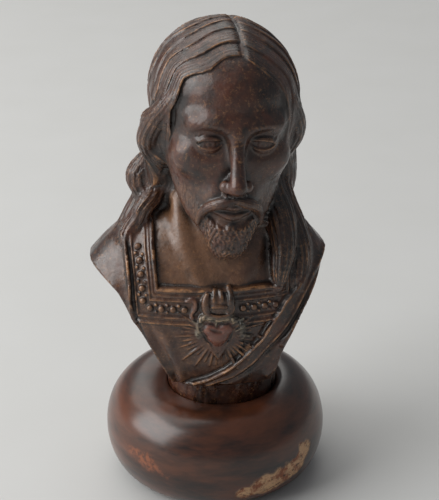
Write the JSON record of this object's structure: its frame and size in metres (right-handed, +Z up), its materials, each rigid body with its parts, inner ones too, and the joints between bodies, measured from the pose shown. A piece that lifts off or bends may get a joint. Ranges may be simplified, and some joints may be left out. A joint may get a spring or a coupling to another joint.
{
  "type": "devotional bust statue on a round base",
  "caption": "Small cast plaster bust of a bearded long-haired figure with a flaming heart on the breast, standing on a round cushion-shaped base.",
  "frame": {"origin": "centre of the round base's flat underside", "axes": "+Z up, the figure faces -Y, +X to the viewer's right"},
  "size_m": [0.1121, 0.104, 0.2179],
  "materials": {
    "patinated_plaster": "dark brown wood-look stain under satin varnish, rubbed to ochre on the high parts",
    "base_plaster": "red-brown stain under satin varnish, worn to tan at the foot"
  },
  "bodies": {
    "root": {"bust": "patinated_plaster", "round_base": "base_plaster"}
  },
  "joints": []
}
